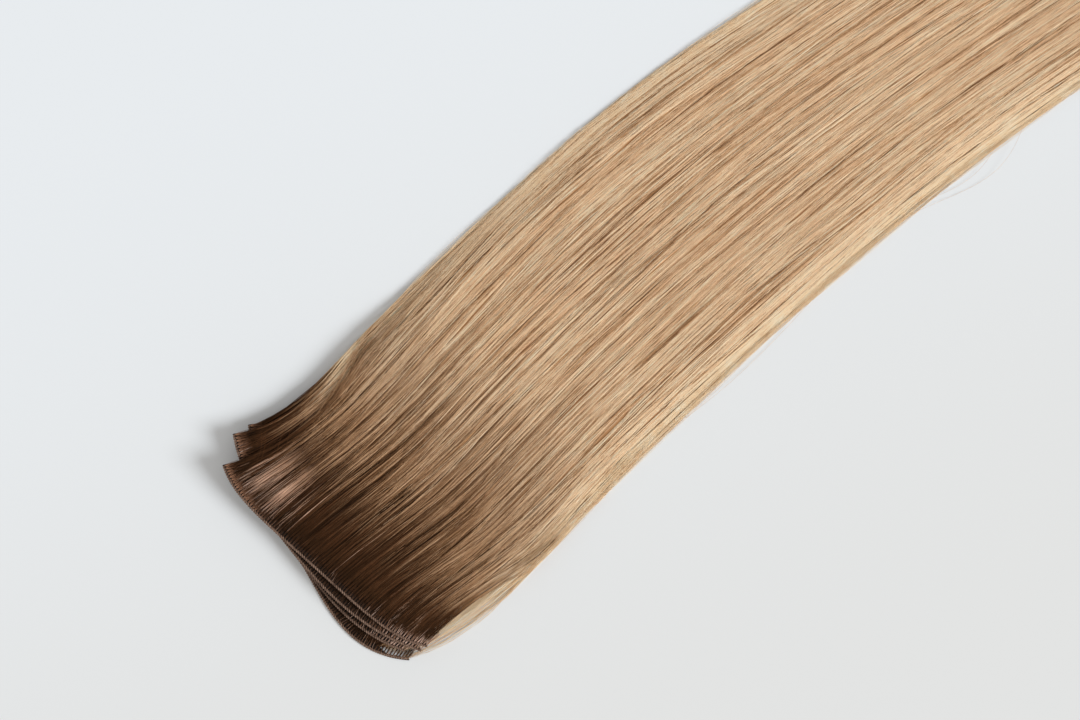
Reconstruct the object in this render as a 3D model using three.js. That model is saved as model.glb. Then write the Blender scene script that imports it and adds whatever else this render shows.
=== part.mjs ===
import * as THREE from "three";

// Hair weft: five machine-sewn lengths of straight hair, stacked flat with their seams fanned.
// Millimetres. The hair runs from the seams along +X, its left edge is on +Y and +Z is up.
// The origin lies on the resting plane, under the middle of the seams.

// Stack
const LAYER_PITCH = 1.8;
const LAYER_GAP = 0.3;
const FLAT_SHARE = 0.35;

// Sewn head bands
const SEAM_WIDTH = 3.5;
const SEAM_STEPS = 28;
const ROOT_GAP = 0.3;

// Hair sheets
const SETTLE_LENGTH = 72;
const INSET_FADE_START = 60;
const INSET_FADE_END = 240;
const SIDE_TAPER = 0.05;
const SIDE_THIN = 0.5;
const TIP_THIN = 0.55;
const TIP_THIN_FROM = 0.9;
const TIP_NOTCH = 6;
const TIP_WANDER = 4;
const TIP_WANDER_STEP = 2.4;
const ROOT_CROWDING = 1.45;
const SLOPE_STEP = 1;

// Outline of the laid hair, one row per section: how far it is from the seams, where its left and
// right edges lie, the height of the pile there as a share of its height at the seams, and how much
// lower it is at either edge. The left ends of the seams stand up, so the drop there is negative.
const OUTLINE = [
  { x: -40, left: 61, right: -62, rise: 1, left_drop: -0.5, right_drop: 0.35 },
  { x: 0, left: 62, right: -64, rise: 1, left_drop: -0.5, right_drop: 0.35 },
  { x: 60, left: 63, right: -67, rise: 1, left_drop: 0, right_drop: 0.4 },
  { x: 130, left: 65, right: -61.5, rise: 0.96, left_drop: 0.45, right_drop: 0.42 },
  { x: 200, left: 66.5, right: -60, rise: 0.92, left_drop: 0.5, right_drop: 0.42 },
  { x: 260, left: 62.5, right: -60, rise: 0.88, left_drop: 0.5, right_drop: 0.42 },
  { x: 320, left: 53.5, right: -62, rise: 0.84, left_drop: 0.48, right_drop: 0.4 },
  { x: 400, left: 41, right: -70.5, rise: 0.8, left_drop: 0.44, right_drop: 0.38 },
  { x: 540, left: 19, right: -90, rise: 0.75, left_drop: 0.38, right_drop: 0.36 },
];

// One row per length of weft, the top one first. The seam's outer edge runs between its left and
// right ends and bows out towards -X; the power flattens the bow and the skew moves it to one side.
// The insets say how far the hair's edges lie inside the outline, and the leans are the slopes at
// which the hair leaves the two ends of the seam.
const LENGTHS = [
  {
    left_x: -5.7, left_y: 62, right_x: 7, right_y: -60.7, bow: 7.4, power: 5, skew: 0,
    left_inset: 14, right_inset: 4, left_lean: -0.5, right_lean: 0.1, tip_x: 503,
    locks: 12, columns: 3, stations: 22, groove: 0.4,
  },
  {
    left_x: 6.7, left_y: 69.5, right_x: 3.4, right_y: -60.4, bow: 15, power: 2.5, skew: 0,
    left_inset: 2, right_inset: 2.5, left_lean: -0.6, right_lean: -0.2, tip_x: 499,
    locks: 9, columns: 2, stations: 16, groove: 0.25,
  },
  {
    left_x: 14.2, left_y: 68.2, right_x: 14.5, right_y: -60, bow: 17, power: 2.5, skew: 0,
    left_inset: 0, right_inset: 1.5, left_lean: -0.38, right_lean: -0.2, tip_x: 508,
    locks: 10, columns: 2, stations: 16, groove: 0.25,
  },
  {
    left_x: 8, left_y: 62, right_x: -2.2, right_y: -56, bow: 13.8, power: 2.75, skew: 0,
    left_inset: 3, right_inset: 1, left_lean: -0.2, right_lean: -0.55, tip_x: 500,
    locks: 9, columns: 2, stations: 16, groove: 0.25,
  },
  {
    left_x: 10, left_y: 60, right_x: -3.5, right_y: -60, bow: 15.2, power: 3, skew: 0.43,
    left_inset: 5, right_inset: 0, left_lean: -0.1, right_lean: -0.75, tip_x: 506,
    locks: 10, columns: 2, stations: 16, groove: 0.25,
  },
];

// Rounded section of a head band: how far across the band from its outer edge, and how high.
const BAND_SECTION = [
  { across: 0, high: 0.3 },
  { across: 0, high: 0.7 },
  { across: 0.16, high: 1 },
  { across: 0.84, high: 1 },
  { across: 1, high: 0.7 },
  { across: 1, high: 0.3 },
  { across: 0.84, high: 0 },
  { across: 0.16, high: 0 },
];

const SEAM_FINISH = { color: 0x6b5344, roughness: 0.7, metalness: 0 };
const HAIR_FINISH = { color: 0xb98f68, roughness: 0.5, metalness: 0 };

function smooth(from, to, value) {
  return THREE.MathUtils.smoothstep(value, from, to);
}

// A column of the outline table at x, as a smooth curve through its rows.
function outline(column, x) {
  const last = OUTLINE.length - 1;
  let i = 0;
  while (i < last - 1 && OUTLINE[i + 1].x < x) i += 1;
  const a = OUTLINE[i];
  const b = OUTLINE[i + 1];
  const before = OUTLINE[Math.max(i - 1, 0)];
  const after = OUTLINE[Math.min(i + 2, last)];
  const span = b.x - a.x;
  const s = THREE.MathUtils.clamp((x - a.x) / span, 0, 1);
  const slopeA = ((b[column] - before[column]) / (b.x - before.x)) * span;
  const slopeB = ((after[column] - a[column]) / (after.x - a.x)) * span;
  return hermite(a[column], slopeA, b[column], slopeB, s);
}

function hermite(from, slopeFrom, to, slopeTo, s) {
  const s2 = s * s;
  const s3 = s2 * s;
  return (
    from * (2 * s3 - 3 * s2 + 1) +
    slopeFrom * (s3 - 2 * s2 + s) +
    to * (3 * s2 - 2 * s3) +
    slopeTo * (s3 - s2)
  );
}

// The pile's height at a point as a share of its full height: level in the middle, falling or
// rising towards either edge.
function pile(x, y) {
  const left = outline("left", x);
  const right = outline("right", x);
  const off = (y - (left + right) / 2) / ((left - right) / 2);
  const side = THREE.MathUtils.clamp((Math.abs(off) - FLAT_SHARE) / (1 - FLAT_SHARE), 0, 1);
  const drop = outline(off > 0 ? "left_drop" : "right_drop", x);
  return outline("rise", x) * (1 - drop * side * side);
}

// Height of a point in a length's own thickness: share 0 is its underside, 1 its top.
function layerZ(level, x, y, share, groove) {
  const step = LAYER_PITCH * pile(x, y);
  return level * step + share * (step - LAYER_GAP - groove);
}

// A point on the seam's outer edge and the direction across the band, for side 1 (left) to -1 (right).
function seamPoint(length, side) {
  const middleX = (length.left_x + length.right_x) / 2;
  const middleY = (length.left_y + length.right_y) / 2;
  const halfX = (length.left_x - length.right_x) / 2;
  const halfY = (length.left_y - length.right_y) / 2;
  const out = Math.pow(Math.abs(side), length.power);
  const lean = 1 - length.skew * side;
  const x = middleX + side * halfX - length.bow * (1 - out) * lean;
  const y = middleY + side * halfY;
  const outSlope = length.power * Math.pow(Math.abs(side), length.power - 1) * Math.sign(side);
  const slopeX = halfX + length.bow * (outSlope * lean + (1 - out) * length.skew);
  const size = Math.hypot(slopeX, halfY);
  return { x, y, inX: halfY / size, inY: -slopeX / size };
}

// Where the hair at a share of the width (0 left, 1 right) lies once it has joined the flow.
function flowY(length, x, share) {
  const near = 1 - smooth(INSET_FADE_START, INSET_FADE_END, x);
  const left = outline("left", x) - length.left_inset * near;
  const right = outline("right", x) + length.right_inset * near;
  return left + (right - left) * share;
}

// The run of hair at a share of the width leaves the seam at its lean and settles into the flow.
function hairY(length, root, x, share) {
  const flow = flowY(length, x, share);
  const s = (x - root.x) / SETTLE_LENGTH;
  if (s >= 1) return flow;
  const lean = length.left_lean + (length.right_lean - length.left_lean) * share;
  const flowSlope =
    (flowY(length, root.x + SLOPE_STEP, share) - flowY(length, root.x, share)) / SLOPE_STEP;
  const away = root.y - flowY(length, root.x, share);
  return flow + hermite(away, (lean - flowSlope) * SETTLE_LENGTH, 0, 0, s);
}

function solid(name, points, faces, finish) {
  const geometry = new THREE.BufferGeometry();
  geometry.setAttribute("position", new THREE.Float32BufferAttribute(points.flat(), 3));
  geometry.setIndex(faces.flat());
  geometry.computeVertexNormals();
  const mesh = new THREE.Mesh(geometry, new THREE.MeshStandardMaterial(finish));
  mesh.name = name;
  return mesh;
}

function headBand(number, length, level) {
  const points = [];
  const faces = [];
  const around = BAND_SECTION.length;
  for (let i = 0; i <= SEAM_STEPS; i += 1) {
    const edge = seamPoint(length, 1 - (2 * i) / SEAM_STEPS);
    for (const corner of BAND_SECTION) {
      const x = edge.x + edge.inX * corner.across * SEAM_WIDTH;
      const y = edge.y + edge.inY * corner.across * SEAM_WIDTH;
      points.push([x, y, layerZ(level, x, y, corner.high, 0)]);
    }
  }
  for (let i = 0; i < SEAM_STEPS; i += 1) {
    for (let j = 0; j < around; j += 1) {
      const a = i * around + j;
      const b = i * around + ((j + 1) % around);
      faces.push([a, a + around, b], [b, a + around, b + around]);
    }
  }
  const end = SEAM_STEPS * around;
  for (let j = 1; j < around - 1; j += 1) {
    faces.push([0, j, j + 1], [end, end + j + 1, end + j]);
  }
  return solid(`seam_${number}`, points, faces, SEAM_FINISH);
}

function hairSheet(number, length, level) {
  const across = length.locks * length.columns;
  const along = length.stations;
  const top = [];
  const under = [];
  for (let j = 0; j <= across; j += 1) {
    const share = j / across;
    const edge = seamPoint(length, 1 - 2 * share);
    const root = {
      x: edge.x + edge.inX * (SEAM_WIDTH + ROOT_GAP),
      y: edge.y + edge.inY * (SEAM_WIDTH + ROOT_GAP),
    };
    const valley = j % length.columns === 0 ? 1 : 0;
    const lock = Math.floor(j / length.columns);
    const tipX =
      length.tip_x - TIP_NOTCH * valley + TIP_WANDER * Math.sin(TIP_WANDER_STEP * lock + number);
    const fromSide = Math.min(share, 1 - share) / SIDE_TAPER;
    const side = SIDE_THIN + (1 - SIDE_THIN) * smooth(0, 1, fromSide);
    for (let i = 0; i <= along; i += 1) {
      const run = Math.pow(i / along, ROOT_CROWDING);
      const x = root.x + (tipX - root.x) * run;
      const y = hairY(length, root, x, share);
      const tip = 1 - (1 - TIP_THIN) * smooth(TIP_THIN_FROM, 1, run);
      const groove = i === 0 ? 0 : length.groove * valley;
      top.push([x, y, layerZ(level, x, y, side * tip, groove)]);
      under.push([x, y, layerZ(level, x, y, 0, 0)]);
    }
  }
  const faces = [];
  const row = along + 1;
  const below = top.length;
  for (let j = 0; j < across; j += 1) {
    for (let i = 0; i < along; i += 1) {
      const a = j * row + i;
      const b = a + row;
      faces.push([a, b, b + 1], [a, b + 1, a + 1]);
      faces.push([below + a, below + b + 1, below + b], [below + a, below + a + 1, below + b + 1]);
    }
    const root = j * row;
    const tip = root + along;
    faces.push([root, below + root, below + root + row], [root, below + root + row, root + row]);
    faces.push([tip, below + tip + row, below + tip], [tip, tip + row, below + tip + row]);
  }
  for (let i = 0; i < along; i += 1) {
    const right = across * row + i;
    faces.push([i, i + 1, below + i + 1], [i, below + i + 1, below + i]);
    faces.push([right, below + right + 1, right + 1], [right, below + right, below + right + 1]);
  }
  return solid(`hair_${number}`, [...top, ...under], faces, HAIR_FINISH);
}

const weft = new THREE.Group();
weft.name = "hair_weft";
LENGTHS.forEach((length, i) => {
  const number = i + 1;
  const level = LENGTHS.length - number;
  weft.add(headBand(number, length, level));
  weft.add(hairSheet(number, length, level));
});

export default weft;
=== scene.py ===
import math

import bpy
import numpy as np
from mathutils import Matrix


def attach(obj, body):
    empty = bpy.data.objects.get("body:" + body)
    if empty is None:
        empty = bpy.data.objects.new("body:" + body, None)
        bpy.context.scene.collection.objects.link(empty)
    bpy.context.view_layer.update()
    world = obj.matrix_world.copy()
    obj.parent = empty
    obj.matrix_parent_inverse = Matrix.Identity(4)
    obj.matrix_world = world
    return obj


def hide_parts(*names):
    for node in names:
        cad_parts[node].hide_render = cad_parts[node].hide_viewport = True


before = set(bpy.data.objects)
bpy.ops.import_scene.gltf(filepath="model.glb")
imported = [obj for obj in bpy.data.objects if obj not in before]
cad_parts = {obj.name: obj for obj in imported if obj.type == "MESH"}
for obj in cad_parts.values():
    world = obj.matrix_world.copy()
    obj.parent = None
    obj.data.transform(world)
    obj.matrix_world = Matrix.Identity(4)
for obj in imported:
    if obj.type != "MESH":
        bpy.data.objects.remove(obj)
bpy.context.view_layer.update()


# Camera
# The weft is seen from straight above, turned so that the hair runs from the lower left of the
# picture to the upper right, with its tips past the edge of the picture. Sizes are in millimetres.
MM = 0.001
FLOW_TURN = math.radians(42)
VIEW_CENTRE = dict(x=131.4, y=1.6)
VIEW_HEIGHT = 951
VIEW_LENS = 70
VIEW_SENSOR = 36
VIEW_NEAREST = 10

bpy.ops.object.select_all(action="DESELECT")
bpy.ops.object.camera_add(
    location=(VIEW_CENTRE["x"] * MM, VIEW_CENTRE["y"] * MM, VIEW_HEIGHT * MM),
    rotation=(0, 0, -FLOW_TURN),
)
camera = bpy.context.object
camera.name = "overhead_camera"
camera.data.lens = VIEW_LENS
camera.data.sensor_width = VIEW_SENSOR
camera.data.clip_start = VIEW_NEAREST * MM
camera.data.dof.use_dof = False
bpy.context.scene.camera = camera


# Edge cords
# The outer edge of each length of weft is a cord of two plies of brown thread, twisted together. The
# roots are folded over it and sewn down, and the five cords are stacked like the edges of shingles.

# One row for each length, the top one first: the two ends of its outer edge, how far the edge bows
# out between them, how flat the bow is, and how far it leans to one side.
LENGTHS = [
    dict(number=1, left_x=-5.7, left_y=62, right_x=7, right_y=-60.7, bow=7.4, power=5, skew=0),
    dict(number=2, left_x=6.7, left_y=69.5, right_x=3.4, right_y=-60.4, bow=15, power=2.5, skew=0),
    dict(number=3, left_x=14.2, left_y=68.2, right_x=14.5, right_y=-60, bow=17, power=2.5, skew=0),
    dict(number=4, left_x=8, left_y=62, right_x=-2.2, right_y=-56, bow=13.8, power=2.75, skew=0),
    dict(number=5, left_x=10, left_y=60, right_x=-3.5, right_y=-60, bow=15.2, power=3, skew=0.43),
]
# Sections of the laid hair: where its left and right edges lie, the height of the pile as a share of
# its height at the seams, and how much lower it is at either edge. A negative drop stands up.
OUTLINE = {
    "x": [-40, 0, 60, 130, 200, 260, 320, 400, 540],
    "left": [61, 62, 63, 65, 66.5, 62.5, 53.5, 41, 19],
    "right": [-62, -64, -67, -61.5, -60, -60, -62, -70.5, -90],
    "rise": [1, 1, 1, 0.96, 0.92, 0.88, 0.84, 0.8, 0.75],
    "left_drop": [-0.5, -0.5, 0, 0.45, 0.5, 0.5, 0.48, 0.44, 0.38],
    "right_drop": [0.35, 0.35, 0.4, 0.42, 0.42, 0.42, 0.4, 0.38, 0.36],
}
LAYER_PITCH = 1.8
LAYER_GAP = 0.3
FLAT_SHARE = 0.35
EDGE_THIN = 0.6
EDGE_THIN_ACROSS = (0.74, 1)
EDGE_THIN_ALONG = (60, 130)
EDGE_SAMPLES = 2001
CORD_PLIES = 2
CORD_RADIUS = 0.36
CORD_PLY_RADIUS = 0.44
CORD_TWIST = 2.3
CORD_STEP = 0.4
CORD_SIDES = 6
CORD_END_GAP = 0.4
CORD_HIGH = 0.5
CORD_BROWN = [(0.3, (88, 66, 53)), (0.5, (124, 98, 82)), (0.72, (158, 130, 112))]


def hermite(start, start_slope, end, end_slope, s):
    return (
        start * (2 * s**3 - 3 * s**2 + 1)
        + start_slope * (s**3 - 2 * s**2 + s)
        + end * (3 * s**2 - 2 * s**3)
        + end_slope * (s**3 - s**2)
    )


def smooth(start, end, value):
    s = np.clip((value - start) / (end - start), 0, 1)
    return s * s * (3 - 2 * s)


def outline_at(column, x):
    xs = np.array(OUTLINE["x"], float)
    values = np.array(OUTLINE[column], float)
    i = np.clip(np.searchsorted(xs, x) - 1, 0, len(xs) - 2)
    before = np.maximum(i - 1, 0)
    after = np.minimum(i + 2, len(xs) - 1)
    span = xs[i + 1] - xs[i]
    s = np.clip((x - xs[i]) / span, 0, 1)
    start_slope = (values[i + 1] - values[before]) / (xs[i + 1] - xs[before]) * span
    end_slope = (values[after] - values[i]) / (xs[after] - xs[i]) * span
    return hermite(values[i], start_slope, values[i + 1], end_slope, s)


def pile_share(x, y):
    left = outline_at("left", x)
    right = outline_at("right", x)
    off = (y - (left + right) / 2) / ((left - right) / 2)
    side = np.clip((np.abs(off) - FLAT_SHARE) / (1 - FLAT_SHARE), 0, 1)
    drop = np.where(off > 0, outline_at("left_drop", x), outline_at("right_drop", x))
    thin = EDGE_THIN * smooth(*EDGE_THIN_ACROSS, np.abs(off)) * smooth(*EDGE_THIN_ALONG, x)
    return outline_at("rise", x) * (1 - drop * side**2) * (1 - thin)


# Height of a point in a length's own thickness: a share of 0 is its underside and 1 its top.
def layer_height(length, x, y, share):
    step = LAYER_PITCH * pile_share(x, y)
    return (len(LENGTHS) - length["number"]) * step + share * (step - LAYER_GAP)


# Points on a length's outer edge and the direction across its band, for sides from 1, left, to -1.
def seam_edge(length, side):
    middle_x = (length["left_x"] + length["right_x"]) / 2
    middle_y = (length["left_y"] + length["right_y"]) / 2
    half_x = (length["left_x"] - length["right_x"]) / 2
    half_y = (length["left_y"] - length["right_y"]) / 2
    out = np.abs(side) ** length["power"]
    lean = 1 - length["skew"] * side
    x = middle_x + side * half_x - length["bow"] * (1 - out) * lean
    y = middle_y + side * half_y
    out_slope = length["power"] * np.abs(side) ** (length["power"] - 1) * np.sign(side)
    slope_x = half_x + length["bow"] * (out_slope * lean + (1 - out) * length["skew"])
    size = np.hypot(slope_x, half_y)
    return x, y, half_y / size, -slope_x / size


# Sides that lie a step apart along the edge, with a margin left at both ends.
def seam_sides(length, step, margin):
    fine = np.linspace(1, -1, EDGE_SAMPLES)
    x, y, _, _ = seam_edge(length, fine)
    run = np.concatenate([[0], np.cumsum(np.hypot(np.diff(x), np.diff(y)))])
    count = int(round((run[-1] - 2 * margin) / step)) + 1
    return np.interp(np.linspace(margin, run[-1] - margin, count), run, fine)


def mesh_piece(name, points, quads, tips=np.zeros((0, 3), int), corner_uv=None):
    mesh = bpy.data.meshes.new(name)
    corners = np.concatenate([quads.ravel(), tips.ravel()])
    starts = np.concatenate([np.arange(len(quads)) * 4, len(quads) * 4 + np.arange(len(tips)) * 3])
    mesh.vertices.add(len(points))
    mesh.vertices.foreach_set("co", (points * MM).astype(np.float32).ravel())
    mesh.loops.add(len(corners))
    mesh.loops.foreach_set("vertex_index", corners.astype(np.int32))
    mesh.polygons.add(len(starts))
    mesh.polygons.foreach_set("loop_start", starts.astype(np.int32))
    mesh.polygons.foreach_set("use_smooth", np.ones(len(starts), bool))
    if corner_uv is not None:
        mesh.uv_layers.new(name="OFBake").data.foreach_set("uv", corner_uv.astype(np.float32).ravel())
    mesh.update(calc_edges=True)
    piece = bpy.data.objects.new(name, mesh)
    bpy.context.collection.objects.link(piece)
    return piece


def closed_tube(name, rings):
    count, around = rings.shape[:2]
    base = (np.arange(count - 1) * around)[:, None]
    here = np.arange(around)
    there = (here + 1) % around
    quads = np.stack([base + here, base + around + here, base + around + there, base + there], -1)
    fan = np.arange(1, around - 1)
    end = (count - 1) * around
    caps = [np.stack([fan * 0, fan, fan + 1], -1), np.stack([end + fan * 0, end + fan + 1, end + fan], -1)]
    return mesh_piece(name, rings.reshape(-1, 3), quads.reshape(-1, 4), np.concatenate(caps))


def joined(name, pieces):
    bpy.ops.object.select_all(action="DESELECT")
    for piece in pieces:
        piece.select_set(True)
    bpy.context.view_layer.objects.active = pieces[0]
    bpy.ops.object.join()
    whole = bpy.context.view_layer.objects.active
    whole.name = name
    whole.data.name = name
    return whole


def srgb(red, green, blue):
    value = np.array([red, green, blue]) / 255
    linear = np.where(value <= 0.04045, value / 12.92, ((value + 0.055) / 1.055) ** 2.4)
    return (*linear, 1)


def ramp(tree, value, stops):
    made = tree.nodes.new("ShaderNodeValToRGB")
    made.color_ramp.interpolation = "EASE"
    while len(made.color_ramp.elements) < len(stops):
        made.color_ramp.elements.new(0.5)
    for element, (place, colour) in zip(made.color_ramp.elements, stops):
        element.position = place
        element.color = srgb(*colour)
    tree.links.new(value, made.inputs["Fac"])
    return made.outputs["Color"]


def new_material(name, roughness, specular):
    material = bpy.data.materials.new(name)
    material.use_nodes = True
    shader = material.node_tree.nodes["Principled BSDF"]
    shader.inputs["Roughness"].default_value = roughness
    shader.inputs["Specular IOR Level"].default_value = specular
    return material, material.node_tree, shader


def fibre_finish(name, roughness, specular, scale, detail, stops):
    material, tree, shader = new_material(name, roughness, specular)
    place = tree.nodes.new("ShaderNodeTexCoord")
    fibre = tree.nodes.new("ShaderNodeTexNoise")
    fibre.inputs["Scale"].default_value = scale
    fibre.inputs["Detail"].default_value = detail
    tree.links.new(place.outputs["Object"], fibre.inputs["Vector"])
    tree.links.new(ramp(tree, fibre.outputs["Fac"], stops), shader.inputs["Base Color"])
    return material


cord_finish = fibre_finish(
    "edge_cord_thread", roughness=0.75, specular=0.3, scale=900, detail=3, stops=CORD_BROWN
)
cord_offset = CORD_RADIUS + CORD_PLY_RADIUS
ply_turn = -2 * np.pi * np.arange(CORD_SIDES) / CORD_SIDES

for length in LENGTHS:
    n = length["number"]
    sides = seam_sides(length, CORD_STEP, CORD_END_GAP)
    x, y, in_x, in_y = seam_edge(length, sides)
    inward = np.stack([in_x, in_y, 0 * in_x], -1)
    middle = np.stack([x + in_x * cord_offset, y + in_y * cord_offset, 0 * x], -1)
    middle[:, 2] = layer_height(length, middle[:, 0], middle[:, 1], CORD_HIGH)
    room = middle[:, 2] - layer_height(length, middle[:, 0], middle[:, 1], 0)
    upward = np.stack([0 * x, 0 * x, np.minimum(room / cord_offset, 1)], -1)
    ring = inward[:, None] * np.cos(ply_turn)[:, None] + upward[:, None] * np.sin(ply_turn)[:, None]
    plies = []
    for ply in range(CORD_PLIES):
        twist = 2 * np.pi * (np.arange(len(sides)) * CORD_STEP / CORD_TWIST + ply / CORD_PLIES)
        around = inward * np.cos(twist)[:, None] + upward * np.sin(twist)[:, None]
        centre = middle + CORD_RADIUS * around
        plies.append(closed_tube(f"cord_ply_{n}_{ply}", centre[:, None] + CORD_PLY_RADIUS * ring))
    cord = joined(f"edge_cord_{n}", plies)
    cord.data.materials.append(cord_finish)
    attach(cord, "root")
    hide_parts(f"seam_{n}")


# Band cores
# Inside each seam the folded roots and the sewing thread make a solid strip, which shows only
# between the stitches. Its near-black colour is painted shade for the gaps between the tufts.
# It narrows at its ends, most at the bared right end of the lowest band.
BAND_WIDTH = 3.5
CORE_STEP = 2.0
CORE_END_GAP = 0.2
CORE_SECTION = [
    dict(across=0.14, high=0.3),
    dict(across=0.14, high=0.6),
    dict(across=0.3, high=0.72),
    dict(across=0.85, high=0.72),
    dict(across=1.0, high=0.6),
    dict(across=1.0, high=0.3),
    dict(across=0.85, high=0.1),
    dict(across=0.3, high=0.1),
]
CORE_LEFT_END = dict(by=0.2, start=0.97, end=1)
CORE_RIGHT_END = dict(by=0.6, start=-0.94, end=-1)
CORE_BARED_END = dict(by=0.78, start=-0.76, end=-0.9)
# Near-black brown: painted shade for the gaps between the tufts.
CORE_SHADE_BROWN = [(0.3, (20, 12, 8)), (0.7, (40, 26, 18))]


# A zone acts by its amount, easing in from its start to its end.
def eased(zone, value):
    return zone["by"] * smooth(zone["start"], zone["end"], value)


core_finish = fibre_finish("band_core", roughness=0.8, specular=0.2, scale=700, detail=2, stops=CORE_SHADE_BROWN)
core_across = np.array([corner["across"] for corner in CORE_SECTION]) * BAND_WIDTH
core_high = np.array([corner["high"] for corner in CORE_SECTION])

for length in LENGTHS:
    n = length["number"]
    sides = seam_sides(length, CORE_STEP, CORE_END_GAP)
    x, y, in_x, in_y = seam_edge(length, sides)
    right_end = CORE_BARED_END if n == len(LENGTHS) else CORE_RIGHT_END
    across = core_across * (1 - eased(right_end, sides) - eased(CORE_LEFT_END, sides))[:, None]
    px = x[:, None] + in_x[:, None] * across
    py = y[:, None] + in_y[:, None] * across
    core = closed_tube(f"band_core_{n}", np.stack([px, py, layer_height(length, px, py, core_high)], -1))
    core.data.materials.append(core_finish)
    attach(core, "root")
    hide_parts(f"seam_{n}")


# Root tufts
# The roots come over the edge cord in a row of small tufts, one to each stitch of the seam. A tuft is a
# few hairs of the weft itself, bound close together at the stitch and fanned out past it.
TUFT_SEED = 11
STITCH_PITCH = 1.45
TUFT_END_GAP = 0.8
TUFT_HAIRS = 7
TUFT_HAIR_RADIUS = 0.12
TUFT_SPREAD = 0.2
TUFT_CROWN = 0.2
TUFT_LEAN = 0.07
TUFT_SLANT = dict(by=0.55, start=-0.7, end=-1)
# Stations along a tuft's hair: how far out from the edge and how high it is, how far the tuft has
# opened in the middle of a seam, at its left and at the bared right end, and how thick the hair is.
TUFT_PATH = {
    "out": np.array([1.1, 1.4, 1.9, 2.6, 3.4, 5.0, 7.5]),
    "high": np.array([0.5, 0.84, 0.98, 0.95, 0.9, 0.78, 0.5]),
    "fan": np.array([0.8, 0.9, 1.0, 1.0, 1.4, 2.4, 3.6]),
    "early_fan": np.array([0.8, 1.0, 1.5, 2.3, 3.0, 3.4, 3.6]),
    "held_fan": np.array([0.8, 0.8, 0.7, 0.7, 0.8, 0.9, 1.1]),
    "thick": np.array([0.9, 1.1, 1.2, 1.1, 1, 0.9, 0.8]),
}
EARLY_FAN_SIDES = (0.2, 0.7)
HELD_FAN_SIDES = (-0.72, -0.86)
TUFT_LIGHT = 0.17
TUFT_LIGHT_SPREAD = 0.1
# Tufts near the two ends of the bands are made lighter, painted light where the light catches them; some
# take the sheen rows, a painted highlight, and the left ones a shorter run for the lighter root colour,
# also painted light.
TUFT_LIT_LEFT = dict(by=0.8, start=0.3, end=0.8)
TUFT_LIT_RIGHT = dict(by=0.65, start=-0.4, end=-1)
TUFT_LIT_BARED = dict(by=0.3, start=-0.4, end=-1)
TUFT_GLEAM = 0.03
TUFT_GLEAM_RIGHT = dict(by=0.85, start=-0.6, end=-0.88)
TUFT_GLEAM_BARED = dict(by=0.1, start=-0.6, end=-0.88)
TUFT_GLEAM_LEVEL = (0.4, 1)
TUFT_RUN_CUT = dict(by=0.25, start=0.45, end=0.8)
HAIR_LENGTH = 520
STRAND_SIDES = 3
CAP_RUN = 0.002

# Hair colour runs along each strand: brown at the root, lighter right at the seam, partly a painted sheen
# where the tufts arch over the cord, darkest a little way out, then a long fade to blonde that starts
# sooner on some strands than on others. The tone says how light a strand is: the lowest rows carry a
# painted highlight near the root, and the highest a painted golden glow of light passing through the
# thin hair of the rims.
TONES = 96
SHEEN_ROWS = 16
RIM_ROWS = 8
PLAIN_ROWS = TONES - SHEEN_ROWS - RIM_ROWS
TONE_MARGIN = 0.1
ROOT_BROWN = [
    # Lighter at the seam itself: partly a painted sheen on the tufts arching over the cord.
    (0.0, (144, 110, 89)),
    (0.006, (72, 47, 31)),
    (0.014, (57, 36, 21)),
    (0.035, (67, 42, 25)),
    (0.1, (84, 54, 33)),
    (0.2, (122, 85, 54)),
]
# Painted highlight colours for the sheen rows near the root.
ROOT_GLEAM = [
    (0.0, (238, 206, 188)),
    (0.012, (146, 110, 88)),
    (0.03, (230, 190, 163)),
    (0.05, (196, 156, 128)),
    (0.075, (92, 61, 40)),
]
CARAMEL = [
    (0.0, (98, 67, 43)),
    (0.3, (134, 97, 66)),
    (0.55, (168, 127, 91)),
    (0.8, (198, 156, 117)),
    (1.0, (222, 184, 146)),
]
BLONDE = [
    (0.0, (152, 110, 74)),
    (0.3, (210, 165, 121)),
    (0.55, (246, 207, 166)),
    (0.8, (255, 226, 189)),
    (1.0, (255, 238, 208)),
]
# Painted glow of light passing through the thin hair at the rims.
RIM_GLOW_PAINTED = [(0.3, (240, 203, 160)), (0.5, (255, 228, 190)), (0.7, (255, 244, 220))]
GLOSS_TINT = (1.0, 0.74, 0.52, 1)
DRIFT_GRAIN = dict(along=55, across=1.37, detail=4, roughness=0.68)
DRIFT_AMOUNT = 1.15
SHEEN_LEVEL = dict(base=0.2, each_row=0.05)
RIM_LEVEL = -0.5
BROWN_LIFT = dict(darkest=0.1, slope=1.9, base=0.14)
BROWN_SPARKLE = dict(slope=4.2, base=-1.6)
GLEAM_SCATTER = 0.024
GLEAM_LIFT = dict(slope=0.85, base=0.42)
GLEAM_COVER = 0.85
FADE_START = dict(base=0.076, scatter=0.05, lighter=-0.075)
CARAMEL_FADE = dict(begin=0, reach=0.07)
BLONDE_FADE = dict(begin=0.05, reach=0.16)


def plain_tone(light):
    return (SHEEN_ROWS + np.clip(light, 0, 0.999) * PLAIN_ROWS) / TONES


def sheen_tone(level):
    return level * SHEEN_ROWS / TONES


def maths(tree, operation, a, b=None, c=None):
    made = tree.nodes.new("ShaderNodeMath")
    made.operation = operation
    for socket, value in zip(made.inputs, (a, b, c)):
        if value is None:
            continue
        if isinstance(value, bpy.types.NodeSocket):
            tree.links.new(value, socket)
        else:
            socket.default_value = value
    return made.outputs[0]


def mixed(tree, blend, share, a, b):
    made = tree.nodes.new("ShaderNodeMix")
    made.data_type = "RGBA"
    made.blend_type = blend
    for socket, value in zip((made.inputs[0], made.inputs[6], made.inputs[7]), (share, a, b)):
        if isinstance(value, bpy.types.NodeSocket):
            tree.links.new(value, socket)
        else:
            socket.default_value = value
    return made.outputs[2]


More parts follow.
